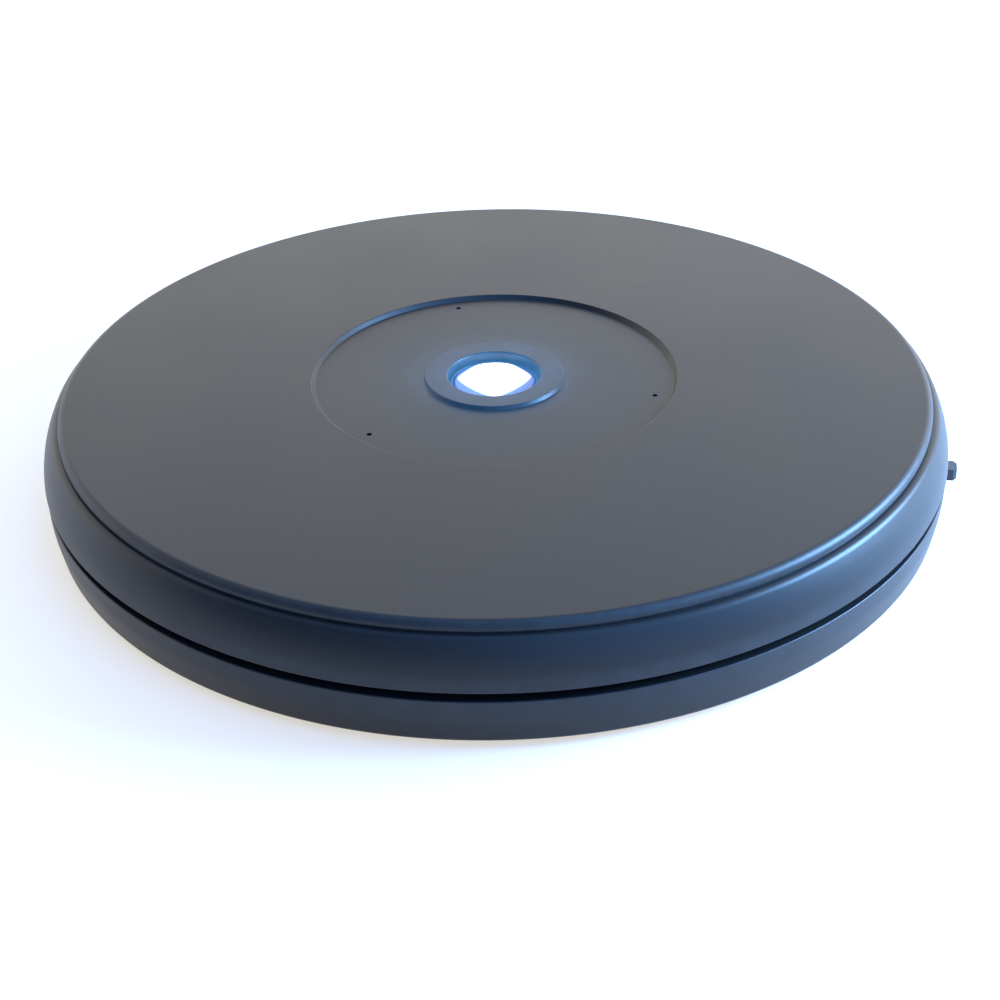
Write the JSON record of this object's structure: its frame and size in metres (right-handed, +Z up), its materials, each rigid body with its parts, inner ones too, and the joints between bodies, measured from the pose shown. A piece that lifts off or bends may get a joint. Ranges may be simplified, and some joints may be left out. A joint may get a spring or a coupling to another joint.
{
  "type": "display turntable",
  "caption": "Low round electric display turntable: a flat satin black platter with a lit well in the middle turns on a flat base with a slide switch.",
  "frame": {"origin": "the middle of the stand, on the surface that its feet rest on", "axes": "+Z up along the spin axis, +X to the right side with the switch, -Y to the front"},
  "size_m": [0.2518, 0.25, 0.0326],
  "materials": {
    "satin_shell": "satin black moulded plastic with a fine even texture",
    "black_plastic": "plain black moulded plastic",
    "switch_plastic": "dark grey moulded plastic",
    "foot_rubber": "soft black rubber",
    "nylon": "natural off-white nylon",
    "acetal": "smooth white acetal",
    "zinc_steel": "zinc-plated steel",
    "circuit_laminate": "green solder mask on glass laminate",
    "lamp_laminate": "white solder mask",
    "led_lamp": "clear resin over a lit white chip",
    "clear_cover": "clear moulded plastic",
    "capacitor_sleeve": "dark printed-free plastic sleeve",
    "lead_red": "red wire insulation",
    "lead_black": "black wire insulation"
  },
  "bodies": {
    "base": {"base_ring": "satin_shell", "bottom_plate": "black_plastic", "centre_post": "black_plastic", "led_holder": "black_plastic", "switch_body": "black_plastic", "dc_jack": "black_plastic", "roller_bracket_1": "black_plastic", "roller_bracket_2": "black_plastic", "roller_bracket_3": "black_plastic", "roller_bracket_4": "black_plastic", "rubber_foot_1": "foot_rubber", "rubber_foot_2": "foot_rubber", "rubber_foot_3": "foot_rubber", "rubber_foot_4": "foot_rubber", "thrust_washer": "nylon", "board_connector": "nylon", "motor_can": "zinc_steel", "motor_gearbox": "zinc_steel", "jack_pin": "zinc_steel", "roller_axle_1": "zinc_steel", "roller_axle_2": "zinc_steel", "roller_axle_3": "zinc_steel", "roller_axle_4": "zinc_steel", "bottom_screw_1": "zinc_steel", "bottom_screw_2": "zinc_steel", "bottom_screw_3": "zinc_steel", "bottom_screw_4": "zinc_steel", "post_screw_1": "zinc_steel", "post_screw_2": "zinc_steel", "post_screw_3": "zinc_steel", "motor_screw_1": "zinc_steel", "motor_screw_2": "zinc_steel", "board_screw_1": "zinc_steel", "board_screw_2": "zinc_steel", "circuit_board": "circuit_laminate", "led_board": "lamp_laminate", "led_1": "led_lamp", "led_2": "led_lamp", "led_3": "led_lamp", "led_4": "led_lamp", "lens_cover": "clear_cover", "board_capacitor": "capacitor_sleeve", "jack_lead": "lead_red", "motor_lead": "lead_red", "switch_lead": "lead_black", "led_lead": "lead_black"},
    "platter": {"platter_top": "satin_shell", "platter_gear": "acetal", "gear_screw_1": "zinc_steel", "gear_screw_2": "zinc_steel", "gear_screw_3": "zinc_steel", "hub_bush": "nylon"},
    "pinion": {"output_shaft": "zinc_steel", "drive_pinion": "acetal"},
    "roller_wheel_1": {"roller_1": "acetal"},
    "roller_wheel_2": {"roller_2": "acetal"},
    "roller_wheel_3": {"roller_3": "acetal"},
    "roller_wheel_4": {"roller_4": "acetal"},
    "switch_slider": {"switch_knob": "switch_plastic"}
  },
  "joints": [
    {"name": "platter_spin", "type": "hinge", "parent": "base", "child": "platter", "pos_m": [0, 0, 0.0226], "axis": [0, 0, 1], "continuous": true},
    {"name": "pinion_spin", "type": "hinge", "parent": "base", "child": "pinion", "pos_m": [-0.045, 0, 0.02], "axis": [0, 0, 1], "continuous": true},
    {"name": "roller_1_spin", "type": "hinge", "parent": "base", "child": "roller_wheel_1", "pos_m": [0.0693, 0.0693, 0.0197], "axis": [0.7071, 0.7071, 0], "continuous": true},
    {"name": "roller_2_spin", "type": "hinge", "parent": "base", "child": "roller_wheel_2", "pos_m": [-0.0693, 0.0693, 0.0197], "axis": [-0.7071, 0.7071, 0], "continuous": true},
    {"name": "roller_3_spin", "type": "hinge", "parent": "base", "child": "roller_wheel_3", "pos_m": [-0.0693, -0.0693, 0.0197], "axis": [-0.7071, -0.7071, 0], "continuous": true},
    {"name": "roller_4_spin", "type": "hinge", "parent": "base", "child": "roller_wheel_4", "pos_m": [0.0693, -0.0693, 0.0197], "axis": [0.7071, -0.7071, 0], "continuous": true},
    {"name": "switch_slide", "type": "slide", "parent": "base", "child": "switch_slider", "axis": [-0.1736, -0.9848, 0], "range_m": [0, 0.003]}
  ],
  "couplings": [
    {"joint": "pinion_spin", "follows": "platter_spin", "ratio": -3},
    {"joint": "roller_1_spin", "follows": "platter_spin", "ratio": -14},
    {"joint": "roller_2_spin", "follows": "platter_spin", "ratio": -14},
    {"joint": "roller_3_spin", "follows": "platter_spin", "ratio": -14},
    {"joint": "roller_4_spin", "follows": "platter_spin", "ratio": -14}
  ]
}
